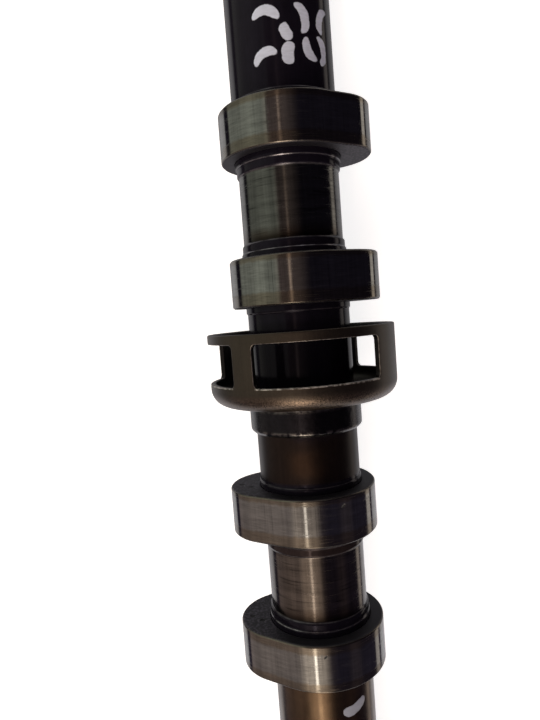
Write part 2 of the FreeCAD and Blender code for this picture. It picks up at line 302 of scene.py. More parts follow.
class Wire:
    """A socket of a shader tree. Operators on wires and numbers add Math nodes."""

    def __init__(self, tree, socket=None):
        self.tree = tree
        self.socket = socket

    def node(self, kind, settings=None, inputs=None, output=0):
        """Adds a node: first its settings, then the values or wires of its inputs."""
        node = self.tree.nodes.new(kind)
        for key, value in (settings or {}).items():
            setattr(node, key, value)
        for key, value in (inputs or {}).items():
            if isinstance(value, Wire):
                self.tree.links.new(value.socket, node.inputs[key])
            else:
                node.inputs[key].default_value = value
        return Wire(self.tree, node.outputs[output] if node.outputs else None)

    def maths(self, operation, *values):
        return self.node("ShaderNodeMath", {"operation": operation}, dict(enumerate(values)))

    def __add__(self, other):
        return self.maths("ADD", self, other)

    def __radd__(self, other):
        return self.maths("ADD", other, self)

    def __sub__(self, other):
        return self.maths("SUBTRACT", self, other)

    def __rsub__(self, other):
        return self.maths("SUBTRACT", other, self)

    def __mul__(self, other):
        return self.maths("MULTIPLY", self, other)

    def __rmul__(self, other):
        return self.maths("MULTIPLY", other, self)

    def __truediv__(self, other):
        return self.maths("DIVIDE", self, other)

    def __abs__(self):
        return self.maths("ABSOLUTE", self)

    def step(self, low, high):
        """Rises smoothly from 0 at low to 1 at high; high may be the lower number."""
        if low > high:
            return 1.0 - self.step(high, low)
        return self.node("ShaderNodeMapRange", {"interpolation_type": "SMOOTHSTEP"},
                         {"Value": self, "From Min": low, "From Max": high})

    def within(self, low, high, soft):
        """1 between two numbers, falling to 0 over a soft edge centred on each."""
        return self.step(low - soft, low + soft) * self.step(high + soft, high - soft)

    def tint(self, other, mask):
        """Colour that turns into another where the mask is 1."""
        return self.node("ShaderNodeMix", {"data_type": "RGBA"}, {0: mask, 6: self, 7: other}, output=2)

    def shade(self, amount):
        """Colour times a number."""
        return self.node("ShaderNodeVectorMath", {"operation": "SCALE"}, {0: self, "Scale": amount})

    def plus(self, other):
        """Sum of two colours."""
        return self.node("ShaderNodeVectorMath", {"operation": "ADD"}, {0: self, 1: other})

    def axes(self):
        """The three parts of a vector."""
        split = self.node("ShaderNodeSeparateXYZ", None, {0: self})
        outputs = split.socket.node.outputs
        return [Wire(self.tree, outputs[index]) for index in range(3)]

    def vector(self, x, y, z):
        """A vector from its three parts."""
        return self.node("ShaderNodeCombineXYZ", None, {"X": x, "Y": y, "Z": z})

    def tone(self, value):
        """A plain colour in this tree."""
        return self.vector(*value)

    def noise(self, x, y, z, detail=2.0, roughness=0.5):
        """Noise from 0 to 1 at coordinates already scaled to its grain."""
        inputs = {"Vector": self.vector(x, y, z), "Scale": 1.0, "Detail": detail, "Roughness": roughness}
        return self.node("ShaderNodeTexNoise", None, inputs)


class Steel:
    """Material of one finish on Object coordinates, with the shaft's own coordinates at hand."""

    def __init__(self, name, specular=0.4):
        self.material = bpy.data.materials.new(name)
        self.material.use_nodes = True
        tree = self.material.node_tree
        self.shader = tree.nodes["Principled BSDF"]
        for socket, value in (("Metallic", 1.0), ("IOR", 1.45), ("Specular IOR Level", specular)):
            self.shader.inputs[socket].default_value = value
        self.wire = Wire(tree)
        place = self.wire.node("ShaderNodeTexCoord", output="Object")
        self.x, self.y, self.z = place.axes()
        self.radius = self.wire.maths("SQRT", self.y * self.y + self.z * self.z)
        self.clock = self.wire.maths("ARCTAN2", self.y, self.z)
        self.across = self.y / self.radius
        self.up = self.z / self.radius

    def rings(self, grain, detail=2.0, turns=6.0):
        """Noise drawn out round the shaft: lines of one grain in mm, which fade along the turn."""
        return self.wire.noise(self.x * (1 / (grain * MM)), self.across * turns, self.up * turns, detail)

    def streaks(self, grain_deg, detail=2.0, along=60.0):
        """Noise drawn out along the shaft: lines of one grain in degrees."""
        turns = RADIAN / grain_deg
        return self.wire.noise(self.x * along, self.across * turns, self.up * turns, detail)

    def cloud(self, grain, detail=3.0, roughness=0.55):
        """Even noise of one grain in mm."""
        scale = 1 / (grain * MM)
        return self.wire.noise(self.x * scale, self.y * scale, self.z * scale, detail, roughness)

    def set(self, socket, wire):
        self.wire.tree.links.new(wire.socket, self.shader.inputs[socket])

    def bump(self, height, depth, below=None):
        """Relief of a height from 0 to 1, as deep as given in mm."""
        inputs = {"Height": height, "Distance": depth * MM, "Strength": 1.0}
        if below is not None:
            inputs["Normal"] = below
        return self.wire.node("ShaderNodeBump", None, inputs)


def cam_steel(sizes, finish):
    """Hardened cam: worn track, brown ground edges beside it, dark sides with two punched dots."""
    steel = Steel("finished_cam")
    wire = steel.wire
    station = wire.node("ShaderNodeAttribute", {"attribute_name": "station"}, None, output="Vector")
    centre, nose, shift = station.axes()
    half = sizes.cam_width / 2 / MM
    across = (steel.x - centre) / MM
    wobble = (steel.cloud(1.6) - 0.5) * 0.8 + (steel.streaks(3.0) - 0.5) * 0.5
    track = (across - shift + wobble).within(*CAM_TRACK, 0.4)
    side = abs(across).step(half - 0.38, half - 0.08)
    rings = steel.rings(0.16, 3.0)
    broad = steel.rings(1.3, 2.0, 1.5)
    scratched = steel.rings(0.30, 2.0, 2.5).step(0.56, 0.68)
    streaks = steel.streaks(2.2, 3.0)
    lines = steel.streaks(0.8, 2.0, 25.0).step(0.60, 0.70) * track
    smear = steel.cloud(7.0)
    speckle = steel.cloud(0.35)
    base = wire.tone(finish.ground).tint(wire.tone(finish.track), track)
    worn = (rings - 0.5) * 0.9 + (streaks - 0.5) * 0.6 + (broad - 0.5) * 0.5
    base = base.shade(0.80 + worn + smear * 0.2 - lines * 0.3)
    toward = wire.maths("COSINE", steel.clock - nose).step(0.45, 0.95)
    toward = toward * steel.cloud(0.7, 3.0).step(0.42, 0.66)
    dull = wire.tone(finish.side).shade(0.4 + smear * 0.7 + speckle * 0.7 + toward * 3.2)
    base = base.tint(dull, side)
    dark = 0.0
    for radius, angle in CAM_DOTS:
        turn = nose + math.radians(angle)
        away_y = steel.y - wire.maths("SINE", turn) * (radius * MM)
        away_z = steel.z - wire.maths("COSINE", turn) * (radius * MM)
        away = wire.maths("SQRT", away_y * away_y + away_z * away_z)
        dark = dark + away.step(0.95 * MM, 0.5 * MM) * across.step(0.1 - half, 0.03 - half)
    # The nicks slant round the shaft
    for place, clock, reach in CAM_NICKS:
        round_ = (steel.clock - math.radians(clock)) * CAM_ARC
        along = steel.x / MM - place + round_ * 0.7
        dark = dark + abs(along).step(0.30, 0.08) * abs(round_).step(reach, reach * 0.4) * 0.8
    base = base.tint(wire.tone(finish.pit), wire.maths("MINIMUM", dark, 1.0))
    steel.set("Base Color", base)
    rough = 0.14 - track * 0.06 + scratched * 0.15 * (1.0 - side) + (rings - 0.5) * 0.08 + side * 0.38
    steel.set("Roughness", rough)
    steel.set("Metallic", 1.0 - side * 0.45)
    relief = rings * 0.7 + streaks * 0.5 * track + side * speckle * 4.0 - dark * 60.0
    steel.set("Normal", steel.bump(relief, 0.0035))
    return steel.material


def brush_marks(steel, sizes):
    """Mask of plain brush dabs, each a bent line with round ends.

    With (run, off) along and across a dab, bent by adding bend times run squared to off, its distance
    is that of (what run is past the straight part, off), and the mask is 1 where it is under half the
    thickness.
    """
    wire = steel.wire
    arc = steel.clock * (sizes.tube_r / MM)
    along = steel.x / MM
    wobble = (steel.cloud(2.2) - 0.5) * 1.0
    mask = 0.0
    for place, turn, reach, thick, angle, bend in DABS:
        down = along - place
        round_ = arc - turn
        sine = math.sin(math.radians(angle))
        cosine = math.cos(math.radians(angle))
        run = down * sine + round_ * cosine
        off = down * cosine - round_ * sine + run * run * bend
        over = wire.maths("MAXIMUM", abs(run) - (reach - thick) / 2, 0.0)
        away = wire.maths("SQRT", over * over + off * off) + wobble
        mask = wire.maths("MAXIMUM", mask, away.step(thick / 2 + 0.12, thick / 2 - 0.12))
    return mask


def tube_steel(sizes, finish):
    """Drawn tube: oil burnt on in black, brown and gold along it, ground journals and brush marks."""
    steel = Steel("finished_tube", specular=0.06)
    wire = steel.wire
    along = steel.x / MM
    cloud = steel.cloud(9.0)
    fine = steel.cloud(2.0)
    drift = along + (cloud - 0.5) * 7.0
    # Distances in mm from the middle of the nearest cylinder and, beside it, of the nearest cam
    first = float(CYLINDER_X[0]) / MM
    half_pitch = BORE_PITCH / MM / 2
    half_cams = CAM_PITCH / MM / 2
    half_bead = (sizes.cam_width / 2 + sizes.seat_over) / MM
    half_journal = sizes.journal_length / 2 / MM
    cylinder = wire.maths("WRAP", along - first, half_pitch, -half_pitch)
    beside = wire.maths("WRAP", along - (first - half_cams) + (fine - 0.5) * 1.5, half_cams, -half_cams)
    outside = half_cams + half_bead
    fillet = abs(beside).step(half_bead + 2.85, half_bead + 0.85)
    fillet = fillet * abs(cylinder).step(outside + 1.25, outside + 0.25)
    gap = abs(abs(cylinder) - half_journal - 1.9).step(2.6, 1.6)
    brown = drift.within(219.5, 300.0, 2.0) + drift.step(120.0, 20.0) + drift.step(296.0, 380.0)
    brown = brown * (1.0 - fillet) * (1.0 - gap)
    patch = abs(steel.clock + 0.10).step(0.50, 0.10) * abs(along - 226.5).step(4.5, 1.5)
    gold = drift.within(281.0, 322.0, 3.0) * (0.45 + cloud * 1.0)
    gold = gold + gap * cylinder.step(-7.0, -9.0) * along.step(200.0, 240.0) * 0.2
    base = wire.tone(finish.black).tint(wire.tone(finish.brown), wire.maths("MINIMUM", brown * 0.9, 1.0))
    base = base.tint(wire.tone(finish.patch), patch * brown * cloud * 1.5)
    base = base.tint(wire.tone(finish.gold), wire.maths("MINIMUM", gold, 1.0))
    base = base.shade(0.6 + fine * 0.5 + steel.streaks(4.0) * 0.4)
    # Painted shade: the tube is darker inside the trigger wheel's cup
    base = base.shade(1.0 - along.within(192.0, 212.5, 1.0) * 0.45)
    ragged = (steel.rings(0.9, 2.0, 2.0) - 0.5) * 0.25
    journal = (abs(cylinder) + ragged).step(half_journal + 0.25, half_journal - 0.2)
    bare = 1.0 - journal
    rings = steel.rings(0.13, 3.0, 3.0)
    scratched = steel.rings(0.28, 2.0, 2.0).step(0.56, 0.68) * journal
    scores = steel.rings(0.75, 2.0, 1.0).step(0.60, 0.67)
    streaks = steel.streaks(2.6, 3.0)
    broad = steel.rings(1.6, 2.0, 1.2)
    ground = wire.tone(finish.journal).tint(wire.tone(finish.journal_warm), along.step(200.0, 262.0))
    worn = (rings - 0.5) * 0.9 + (streaks - 0.5) * 0.6 + (broad - 0.5) * 0.8
    ground = ground.shade(0.80 + worn - scores * 0.32)
    # A journal's rear end is stained brown, and darker towards its edge
    stain = (cylinder + (cloud - 0.5) * 2.5).step(half_journal - 3.8, half_journal - 0.6)
    edge = (cylinder + (fine - 0.5) * 0.8).step(half_journal - 1.8, half_journal)
    ground = ground.tint(wire.tone(finish.journal_end).shade(0.6 + fine * 0.8), stain * 0.9)
    ground = ground.shade(1.0 - edge * 0.65)
    base = base.tint(ground, journal)
    # The crests of beads and journal edges get a bright colour: partly rubbed steel, partly painted
    # highlight lines
    over_seat = (steel.radius - sizes.seat_r) / MM
    over_journal = (steel.radius - sizes.journal_r) / MM
    crest_wear_and_highlight = wire.maths("MAXIMUM", over_seat.within(-0.20, -0.08, 0.03),
                       over_journal.within(0.06, 0.26, 0.04) * 0.4)
    crest_wear_and_highlight = crest_wear_and_highlight * abs(cylinder).step(outside + 1.75, outside + 1.25) * (0.3 + fine.step(0.35, 0.65) * 0.7)
    crest_wear_and_highlight = crest_wear_and_highlight * (1.0 - abs(cylinder).step(11.0, 14.0) * 0.7)
    base = base.tint(wire.tone(finish.rubbed), crest_wear_and_highlight)
    marks = brush_marks(steel, sizes)
    faded = 1.0 - along.step(180.0, 260.0) * 0.35
    base = base.tint(wire.tone(finish.paint).shade((0.80 + steel.rings(0.5) * 0.4) * faded), marks)
    steel.set("Base Color", base)
    shiny = wire.maths("MINIMUM", 0.25 + brown * 0.55 + gold * 0.4, 1.0)
    shiny = wire.maths("MAXIMUM", shiny * bare + journal, crest_wear_and_highlight)
    steel.set("Metallic", shiny * (1.0 - marks))
    rough = 0.12 + bare * (brown * 0.22 - gold * 0.14) + fine * 0.04 + (rings - 0.5) * 0.08 * journal
    steel.set("Roughness", rough + scratched * 0.14 + marks * 0.3)
    relief = rings * 0.8 * journal + streaks * 0.4 + scores * journal * 0.6 + marks * 9.0 + fine * 0.8
    steel.set("Normal", steel.bump(relief, 0.004))
    return steel.material


def wheel_sheet(sizes, finish):
    """Drawn sheet: satin brown steel, golden and grainy at the drawn corner, an oiled black neck.

    The inside of the rim and the windows' cut faces are dark with painted shade, and the neck has painted
    glints in its bend and on its end. The windows' lower lips have bright burrs with a painted highlight,
    and their outer edges a thin painted highlight line.
    """
    steel = Steel("finished_wheel")
    wire = steel.wire
    outer = sizes.wheel_r
    inner = outer - sizes.sheet
    neck_r = sizes.tube_r + sizes.sheet
    neck_end = sizes.neck_length / MM
    begin = WHEEL_WEB - sizes.wheel_depth + sizes.window_rim
    lower = begin + sizes.window_length
    stain = steel.cloud(8.0)
    grain = steel.cloud(0.30, 2.0)
    lumps = steel.cloud(1.1, 3.0)
    draw = steel.streaks(1.2, 2.0, 25.0)
    base = wire.tone(finish.sheet).shade(0.62 + stain * 0.55 + (grain - 0.5) * 0.5 + (draw - 0.5) * 0.3)
    corner = steel.x.step(WHEEL_WEB - 4.4 * MM, WHEEL_WEB - 1.6 * MM)
    corner = corner * steel.radius.step(neck_r + 0.4 * MM, neck_r + 1.6 * MM)
    base = base.tint(wire.tone(finish.corner).shade(0.1 + grain.step(0.25, 0.75) * 1.8), corner * 0.85)
    neck = steel.radius.step(neck_r + 2.2 * MM, neck_r + 1.0 * MM)
    neck = neck * steel.x.step(WHEEL_WEB - 1.0 * MM, WHEEL_WEB)
    base = base.tint(wire.tone(finish.neck).shade(0.5 + lumps), neck)
    # Painted glints: a lighter, speckled colour in the neck's bend and on its end
    place = (steel.x - WHEEL_WEB) / MM
    painted_neck_glints = neck * wire.maths("MAXIMUM", place.step(1.9, 0.9), place.step(neck_end - 1.65, neck_end - 0.85))
    base = base.tint(wire.tone(finish.oil), painted_neck_glints * lumps.step(0.38, 0.60))
    # Painted shade: the inside of the rim is darkened
    inside = steel.radius.step(inner + 0.2 * MM, inner)
    inside = inside * steel.x.step(WHEEL_WEB - 1.2 * MM, WHEEL_WEB - 1.6 * MM)
    base = base.tint(wire.tone(finish.painted_shade), inside * 0.85)
    # Painted shade on the windows' cut faces
    zone = steel.x.within(begin - 0.3 * MM, lower + 0.3 * MM, 0.05 * MM)
    cut = steel.radius.step(outer - 0.10 * MM, outer - 0.24 * MM) * zone
    base = base.tint(wire.tone(finish.painted_shade), cut * 0.9)
    # Bright burrs at the windows' lower lips: partly real, partly a painted highlight
    below = 0.0
    for first, last, _, _ in WINDOWS:
        below = below + steel.clock.within(math.radians(first + 1.2), math.radians(last - 1.2), 0.02)
    lower_lip_burr_and_highlight = steel.x.within(lower - 0.10 * MM, lower + 0.30 * MM, 0.06 * MM)
    lower_lip_burr_and_highlight = lower_lip_burr_and_highlight * steel.radius.step(inner, outer - 0.4 * MM)
    lower_lip_burr_and_highlight = lower_lip_burr_and_highlight * below * (0.15 + steel.cloud(0.9, 2.0).step(0.42, 0.60) * 0.85)
    # Painted highlight: a thin bright line round the windows' outer edges, partly bright burrs
    thin = steel.radius.within(outer - 0.20 * MM, outer - 0.04 * MM, 0.03 * MM) * zone
    thin = thin * (0.1 + lumps.step(0.3, 0.7) * 0.6)
    base = base.tint(wire.tone(finish.burr_and_highlight), wire.maths("MAXIMUM", lower_lip_burr_and_highlight, thin))
    steel.set("Base Color", base)
    steel.set("Metallic", 0.92 - inside * 0.5 - lower_lip_burr_and_highlight * 0.45)
    rough = 0.36 + stain * 0.08 - neck * 0.16 - painted_neck_glints * 0.06 - corner * 0.10 + (grain - 0.5) * 0.2
    steel.set("Roughness", rough)
    steel.set("Normal", steel.bump(grain * (1.0 + corner * 1.5) + draw * 0.25 + neck * lumps * 6.0, 0.010))
    return steel.material


def turned_steel(sizes, finish):
    """Turned and ground steel with tool lines round the axis, and a thread in the drive hole."""
    steel = Steel("finished_turning")
    wire = steel.wire
    rings = steel.rings(0.14, 3.0, 3.0)
    faces = wire.noise(steel.radius * (1 / (0.16 * MM)), steel.across * 2.0, steel.up * 2.0, 3.0)
    stain = steel.cloud(6.0)
    lines = rings + faces
    base = wire.tone(finish.turned).shade(0.42 + lines * 0.34 + stain * 0.34)
    hole = steel.radius.step(sizes.hole_r + 0.35 * MM, sizes.hole_r + 0.15 * MM)
    hole = hole * steel.x.step(sizes.hole_depth + 4.0 * MM, sizes.hole_depth + 2.0 * MM)
    base = base.tint(wire.tone(finish.thread), hole * 0.75)
    steel.set("Base Color", base)
    steel.set("Roughness", 0.24 + (lines - 1.0) * 0.12 + stain * 0.10)
    thread = wire.maths("SINE", steel.x * (2 * math.pi / THREAD_PITCH) + steel.clock) * hole
    steel.set("Normal", steel.bump(lines * 0.004 + thread * 0.16, 1.0))
    return steel.material


def dowel_steel(finish):
    """Ground dowel with fine lines along it."""
    steel = Steel("finished_dowel")
    grain = steel.cloud(0.4)
    lines = steel.rings(0.10, 2.0, 3.0)
    steel.set("Base Color", steel.wire.tone(finish.dowel).shade(0.7 + grain * 0.3 + lines * 0.3))
    steel.set("Roughness", 0.20 + grain * 0.10)
    steel.set("Normal", steel.bump(lines, 0.002))
    return steel.material


def every(steps):
    """Clock angles of equal steps round the shaft."""
    return np.arange(steps) * 360.0 / steps


def make_tube(sizes, finish):
    """Tube turned from one closed profile: a rolled bead for each cam and a ground journal between.

    A bead or journal is a trapezium on the tube's line, with a slope at each end.
    """
    corners = [(TUBE_FRONT, sizes.bore_r), (TUBE_FRONT, sizes.tube_r)]
    radii = [0.1 * MM, sizes.edge]
    seat = (sizes.cam_width / 2 + sizes.seat_over, sizes.seat_r, sizes.seat_edge, 0.7 * MM)
    journal = (sizes.journal_length / 2 + sizes.journal_edge, sizes.journal_r, sizes.journal_edge, 0.6 * MM)
    for middle in CYLINDER_X:
        stations = (middle - CAM_PITCH / 2, middle, middle + CAM_PITCH / 2)
        for place, (half, radius, slope, soft) in zip(stations, (seat, journal, seat)):
            start, end = place - half, place + half
            corners.extend([(start, sizes.tube_r), (start + slope, radius)])
            corners.extend([(end - slope, radius), (end, sizes.tube_r)])
            radii.extend([soft] * 4)
    corners.extend([(TUBE_REAR, sizes.tube_r), (TUBE_REAR, sizes.bore_r)])
    radii.extend([sizes.edge, 0.1 * MM])
    skin = Skin()
    skin.add(*swept(*rounded(corners, radii), every(240)), wrap_rows=True, wrap_columns=True)
    skin.build("tube", tube_steel(sizes, finish), ["shaft_tube"])


def cam_outline(sizes):
    """Outline round a cam with its nose at clock 0, as points and normals in the (y, z) plane.

    The nose arc and the base arc share the normal angle f, with cos f the difference of their radii
    over the distance of their centres; straight flanks join them.
    """
    centre = sizes.cam_base_r + sizes.cam_lift - sizes.cam_nose_r
    flank = math.acos((sizes.cam_base_r - sizes.cam_nose_r) / centre)
    nose = np.linspace(-flank, flank, 49)
    base = np.linspace(flank, 2 * math.pi - flank, 121)
    steps = np.linspace(0, 1, 14)[1:-1, None]

    def arc(angles, radius, height):
        facing = np.stack([np.sin(angles), np.cos(angles)], axis=1)
        return facing * radius + np.array([[0.0, height]]), facing

    nose_points, nose_facing = arc(nose, sizes.cam_nose_r, centre)
    base_points, base_facing = arc(base, sizes.cam_base_r, 0.0)
    right = nose_points[-1:] + (base_points[:1] - nose_points[-1:]) * steps
    left = base_points[-1:] + (nose_points[:1] - base_points[-1:]) * steps
    points = np.vstack([nose_points, right, base_points, left])
    facing = np.vstack([nose_facing, np.repeat(nose_facing[-1:], len(right), 0), base_facing,
                        np.repeat(nose_facing[:1], len(left), 0)])
    return points, facing


def make_cams(sizes, finish):
    """Cams from one grid: an edge profile carried round the outline, and a bore profile round the circle.

    A point of the edge profile at depth h lies at the outline's point plus h times its normal, so a
    chamfer keeps its width round the nose. The bore's points lie at the same polar angles.
    """
    material = cam_steel(sizes, finish)
    points, facing = cam_outline(sizes)
    polar = np.arctan2(points[:, 0], points[:, 1])
    inward = np.stack([np.sin(polar), np.cos(polar)], axis=1)
    half = sizes.cam_width / 2
    cut = sizes.cam_chamfer
    deep = 1.3 * MM
    edge, edge_normals = rounded(
        [(-half, -deep), (-half, -cut), (-half + cut, 0), (half - cut, 0), (half, -cut), (half, -deep)],
        0.3 * MM, closed=False)
    bore, bore_normals = rounded([(half, 0.8 * MM), (half, 0), (-half, 0), (-half, 0.8 * MM)], 0.22 * MM,
                                 closed=False)

    def carried(profile, normals, line, outward):
        place = line[None] + outward[None] * profile[:, None, 1:]
        across = np.broadcast_to(profile[:, None, :1], place.shape[:2] + (1,))
        tilt = np.broadcast_to(normals[:, None, :1], place.shape[:2] + (1,))
        return (np.concatenate([across, place], axis=-1),
                np.concatenate([tilt, outward[None] * normals[:, None, 1:]], axis=-1))

    rim = carried(edge, edge_normals, points, facing)
    hole = carried(bore, bore_normals, inward * sizes.seat_r, inward)
    grid = np.vstack([rim[0], hole[0]])
    normals = np.vstack([rim[1], hole[1]])
    shifts = iter(TRACK_SHIFTS)
    for number, (middle, nose) in enumerate(zip(CYLINDER_X, NOSE_CLOCKS), start=1):
        turn = math.radians(nose)
        cosine, sine = math.cos(turn), math.sin(turn)
        rotation = np.array([[1, 0, 0], [0, cosine, sine], [0, -sine, cosine]])
        for side, letter in ((-1, "a"), (1, "b")):
            centre = middle + side * CAM_PITCH / 2
            skin = Skin()
            skin.add(grid @ rotation.T + np.array([centre, 0, 0]), normals @ rotation.T,
                     wrap_rows=True, wrap_columns=True)
            name = f"cam_{number}{letter}"
            skin.build(f"{name}_finished", material, [name], (centre, turn, next(shifts)))


def window_tile(skin, sizes, window, start, end, rows):
    """Sheet round one window: rings of points from a tile's border, over the lip and back inside.

    For a border point q the nearest point c of the window's core rectangle gives a direction, and the
    lip's points lie at c plus the corner radius and the profile's offset along it.
    """
    first, last, low, high = window
    outer = sizes.wheel_r
    scale = math.radians(1.0) * outer
    clocks = np.arange(low, high + 0.1, WHEEL_STEP)
    heights = np.linspace(start, end, rows + 1)
    border = np.vstack([
        np.stack([clocks * scale, np.full(len(clocks), start)], axis=1),
        np.stack([np.full(rows - 1, high * scale), heights[1:-1]], axis=1),
        np.stack([clocks[::-1] * scale, np.full(len(clocks), end)], axis=1),
        np.stack([np.full(rows - 1, low * scale), heights[-2:0:-1]], axis=1),
    ])
    corner = sizes.window_corner_r
    begin = WHEEL_WEB - sizes.wheel_depth + sizes.window_rim
    core_low = np.array([first * scale + corner, begin + corner])
    core_high = np.array([last * scale - corner, begin + sizes.window_length - corner])
    nearest = np.clip(border, core_low, core_high)
    away = border - nearest
    away /= np.linalg.norm(away, axis=1, keepdims=True)
    lip, lip_normals = rounded([(1.0 * MM, 0), (0, 0), (0, sizes.sheet), (1.0 * MM, sizes.sheet)],
                               sizes.edge, closed=False)
    lip, lip_normals = lip[1:-1], lip_normals[1:-1]
    flat = nearest[None] + away[None] * (corner + lip[:, None, :1])
    flat = np.concatenate([border[None], flat, border[None]])
    depth = np.concatenate([[0.0], lip[:, 1], [sizes.sheet]])[:, None]
    facing = np.concatenate([[[0.0, -1.0]], lip_normals, [[0.0, 1.0]]])[:, None]
    turn = flat[..., 0] / outer
    radius = outer - depth
    points = np.stack([flat[..., 1], radius * np.sin(turn), radius * np.cos(turn)], axis=-1)
    round_ = facing[..., 0] * away[None, :, 0]
    along = facing[..., 0] * away[None, :, 1]
    out = -facing[..., 1] * np.ones_like(turn)
    normals = np.stack([along, round_ * np.cos(turn) + out * np.sin(turn),
                        -round_ * np.sin(turn) + out * np.cos(turn)], axis=-1)
    skin.add(points, normals, wrap_columns=True)


def make_wheel(sizes, finish):
    """Drawn cup turned from an open profile, with a band of tiles left for the windows."""
    web = WHEEL_WEB
    rim = web - sizes.wheel_depth
    outer = sizes.wheel_r
    inner = outer - sizes.sheet
    neck_in = sizes.tube_r
    neck_out = neck_in + sizes.sheet
    neck_end = web + sizes.neck_length
    chamfer = 0.8 * MM
    start = rim + 1.3 * MM
    end = web - sizes.corner_r - 0.1 * MM
    clocks = np.arange(0.0, 360.0, WHEEL_STEP)
    skin = Skin()
    edge = rounded([(start, inner), (rim, inner), (rim, outer), (start, outer)], 0.4 * MM, closed=False)
    skin.add(*swept(*edge, clocks), wrap_columns=True)
    cup = rounded(
        [(end, outer), (web, outer), (web, neck_out), (neck_end - chamfer, neck_out),
         (neck_end, neck_out - chamfer), (neck_end, neck_in), (web - sizes.sheet, neck_in),
         (web - sizes.sheet, inner), (end, inner)],
        [0, sizes.corner_r, sizes.bend_r, 0.9 * MM, 0.6 * MM, 0.15 * MM, sizes.bend_r + sizes.sheet,
         sizes.corner_r - sizes.sheet, 0], steps=14, closed=False)
    skin.add(*swept(*cup, clocks), wrap_columns=True)
    rows = 16
    heights = np.linspace(start, end, rows + 1)
    for index, window in enumerate(WINDOWS):
        window_tile(skin, sizes, window, start, end, rows)
        following = WINDOWS[(index + 1) % len(WINDOWS)][2]
        if following < window[3]:
            following += 360.0
        plain = np.arange(window[3], following + 0.1, WHEEL_STEP)
        for radius, out in ((outer, 1.0), (inner, -1.0)):
            profile = np.stack([heights, np.full(rows + 1, radius)], axis=1)
            facing = np.tile([[0.0, out]], (rows + 1, 1))
            skin.add(*swept(profile, facing, plain))
    skin.build("trigger_wheel_finished", wheel_sheet(sizes, finish), ["trigger_wheel"])


def add_hexagon(skin, sizes, front, back):
    """Spanner hexagon with rounded corners, cut by a cone at each end, as a grid of stations and clocks.

    Its radius at clock c is the flat's distance over cos of c from the nearest flat, up to a corner's
    rounding, whose centre lies on the corner's ray. Each cone slopes 30 degrees from the end face, so
    it lets the radius grow by 1 / tan 30 of the distance from that face.
    """
    flat = sizes.hex_flat
    soft = 0.5 * MM
    chamfer = 0.5 * MM
    sixth = math.radians(30)
    clocks = every(360)
    offset = np.radians((clocks + 30.0) % 60.0 - 30.0)
    middle = np.radians(clocks) - offset
    rounding = np.abs(flat * np.tan(offset)) > math.tan(sixth) * (flat - soft)
    centre_r = (flat - soft) / math.cos(sixth)
    lean = sixth - np.abs(offset)
    reach = centre_r * np.cos(lean) + np.sqrt(np.maximum(soft ** 2 - (centre_r * np.sin(lean)) ** 2, 0))
    radius = np.where(rounding, reach, flat / np.cos(offset))
    ray = np.stack([np.sin(np.radians(clocks)), np.cos(np.radians(clocks))], axis=1)
    corner = middle + np.sign(offset) * sixth
    centre = np.stack([np.sin(corner), np.cos(corner)], axis=1) * centre_r
    facing = np.where(rounding[:, None], (ray * radius[:, None] - centre) / soft,
                      np.stack([np.sin(middle), np.cos(middle)], axis=1))
    slope = 1 / math.tan(sixth)
    face_r = flat / math.cos(sixth) - chamfer * slope
    rise = np.linspace(0, chamfer, 6)[1:]
    fall = rise[::-1]
    x = np.concatenate([[front, front], front + rise, back - fall, [back, back]])
    limit = np.concatenate([[sizes.nose_r * 0.93, face_r], face_r + rise * slope,
                            face_r + fall * slope, [face_r, sizes.bore_r]])
    grid_r = np.minimum(radius[None], limit[:, None])
    cut = grid_r < radius[None] - 1e-9
    ones = np.ones_like(grid_r)[..., None]
    ends = np.where(x < (front + back) / 2, -1.0, 1.0)[:, None, None] * ones
    cone = np.concatenate([ends * math.cos(sixth), ray[None] * math.sin(sixth) * ones], axis=-1)
    plain = np.concatenate([0.0 * ones, facing[None] * ones], axis=-1)
    points = np.concatenate([x[:, None, None] * ones, ray[None] * grid_r[..., None]], axis=-1)
    skin.add(points[1:-1], np.where(cut[..., None], cone, plain)[1:-1], wrap_columns=True)
    # The flat end faces keep their own normals, so they lie a hair inside and aren't welded to the ring
    ends = np.concatenate([ends, 0.0 * ones, 0.0 * ones], axis=-1)
    for rows in (slice(0, 2), slice(len(x) - 2, len(x))):
        skin.add(points[rows] - ends[rows] * (0.001 * MM), ends[rows], wrap_columns=True)


def make_drive_end(sizes, material):
    """Journal, relief and spigot turned from one open profile, drill tip to spigot end, and the hexagon."""
    front, back = TUBE_FRONT - sizes.hex_width, TUBE_FRONT
    hole, depth = sizes.hole_r, sizes.hole_depth
    journal, journal_end = sizes.nose_r, sizes.nose_length
    relief = journal - 0.4 * MM
    spigot_end = back + sizes.spigot_length
    chamfer = 0.8 * MM
    turned = (
        (depth + hole / math.tan(math.radians(59)), 0, 0),
        (depth, hole, 0.3 * MM),
        (1.25 * MM, hole, 0.2 * MM),
        (0, 6.5 * MM, 0.2 * MM),
        (0, journal - 1.0 * MM, 0.3 * MM),
        (1.0 * MM, journal, 0.4 * MM),
        (journal_end, journal, 0.2 * MM),
        (journal_end + 0.4 * MM, relief, 0.2 * MM),
        (front + 0.5 * MM, relief, 0.1 * MM),
        (front + 0.5 * MM, sizes.bore_r, 0.1 * MM),
        (spigot_end - chamfer, sizes.bore_r, 0.2 * MM),
        (spigot_end, sizes.bore_r - chamfer, 0.2 * MM),
        (spigot_end, 0, 0),
    )
    profile = rounded([line[:2] for line in turned], [line[2] for line in turned], closed=False)
    skin = Skin()
    skin.add(*swept(*profile, every(192)), wrap_columns=True)
    add_hexagon(skin, sizes, front, back)
    skin.build("drive_end_finished", material, ["drive_end"])


